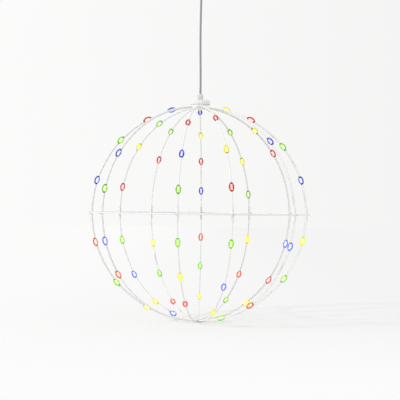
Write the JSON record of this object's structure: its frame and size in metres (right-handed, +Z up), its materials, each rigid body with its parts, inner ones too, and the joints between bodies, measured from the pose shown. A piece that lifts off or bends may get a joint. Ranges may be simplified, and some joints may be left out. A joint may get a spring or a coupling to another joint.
{
  "type": "garden globe light",
  "caption": "Hanging wire globe light: white ribs on a hub and a ring, small coloured lamps along the ribs, a cord and a swivelling ceiling fitting.",
  "frame": {"origin": "centre of the ceiling fitting's mounting face, midway between its two screw holes", "axes": "+Z up, -Y towards the viewer of the picture, +X to the viewer's right"},
  "size_m": [0.4122, 0.4118, 0.6507],
  "materials": {
    "coated_wire": "white powder coat, satin",
    "lead_sheath": "thin white sheath",
    "white_moulding": "fine moulded white",
    "hub_plastic": "semi-gloss moulded white",
    "gland_plastic": "moulded white nylon",
    "ceiling_plastic": "semi-gloss moulded white",
    "seal_rubber": "soft grey rubber",
    "screw_steel": "zinc plated",
    "contact_brass": "plain",
    "terminal_plastic": "natural nylon",
    "board": "solder mask",
    "chip_black": "matt",
    "chip_yellow": "clear resin over phosphor",
    "cord_sheath": "smooth grey sheath",
    "cover_red": "lit translucent red",
    "cover_green": "lit translucent green",
    "cover_blue": "lit translucent blue",
    "cover_yellow": "lit translucent yellow"
  },
  "bodies": {
    "ceiling": {"ceiling_plate": "ceiling_plastic", "ceiling_cover": "ceiling_plastic", "cover_screws": "screw_steel"},
    "swivel": {"swivel_cup": "ceiling_plastic"},
    "pendant": {"cord_cores": "contact_brass", "core_pads": "contact_brass", "driver_chip": "chip_black", "equator_ring": "coated_wire", "foot_cap": "white_moulding", "foot_collar": "white_moulding", "foot_screw": "screw_steel", "gland_body": "gland_plastic", "gland_locknut": "gland_plastic", "gland_seal": "seal_rubber", "grip_screw": "screw_steel", "hub_base": "hub_plastic", "hub_cap": "hub_plastic", "hub_screws": "screw_steel", "hub_seal": "seal_rubber", "lamp_covers_blue": "cover_blue", "lamp_covers_green": "cover_green", "lamp_covers_red": "cover_red", "lamp_covers_yellow": "cover_yellow", "lamp_holders": "white_moulding", "light_chips": "chip_yellow", "lower_leads": "lead_sheath", "lower_rib_01": "coated_wire", "lower_rib_02": "coated_wire", "lower_rib_03": "coated_wire", "lower_rib_04": "coated_wire", "lower_rib_05": "coated_wire", "lower_rib_06": "coated_wire", "lower_rib_07": "coated_wire", "lower_rib_08": "coated_wire", "lower_rib_09": "coated_wire", "lower_rib_10": "coated_wire", "lower_rib_11": "coated_wire", "ring_joints": "white_moulding", "supply_cord": "cord_sheath", "swivel_ball": "ceiling_plastic", "terminal_block": "terminal_plastic", "terminal_screws": "contact_brass", "upper_leads": "lead_sheath", "upper_rib_01": "coated_wire", "upper_rib_02": "coated_wire", "upper_rib_03": "coated_wire", "upper_rib_04": "coated_wire", "upper_rib_05": "coated_wire", "upper_rib_06": "coated_wire", "upper_rib_07": "coated_wire", "upper_rib_08": "coated_wire", "upper_rib_09": "coated_wire", "upper_rib_10": "coated_wire", "upper_rib_11": "coated_wire", "wiring_board": "board"},
    "gland_nut": {"gland_nut": "gland_plastic"}
  },
  "joints": [
    {"name": "swivel_turn", "type": "hinge", "parent": "ceiling", "child": "swivel", "pos_m": [0, 0, -0.0303], "axis": [0, 0, 1], "range_deg": [-150, 150]},
    {"name": "globe_swing", "type": "hinge", "parent": "swivel", "child": "pendant", "pos_m": [0, 0, -0.0303], "axis": [0, 1, 0], "range_deg": [-15, 15]},
    {"name": "gland_nut_turn", "type": "hinge", "parent": "pendant", "child": "gland_nut", "pos_m": [0, 0, -0.2291], "axis": [0, 0, 1], "range_deg": [0, 180]}
  ]
}
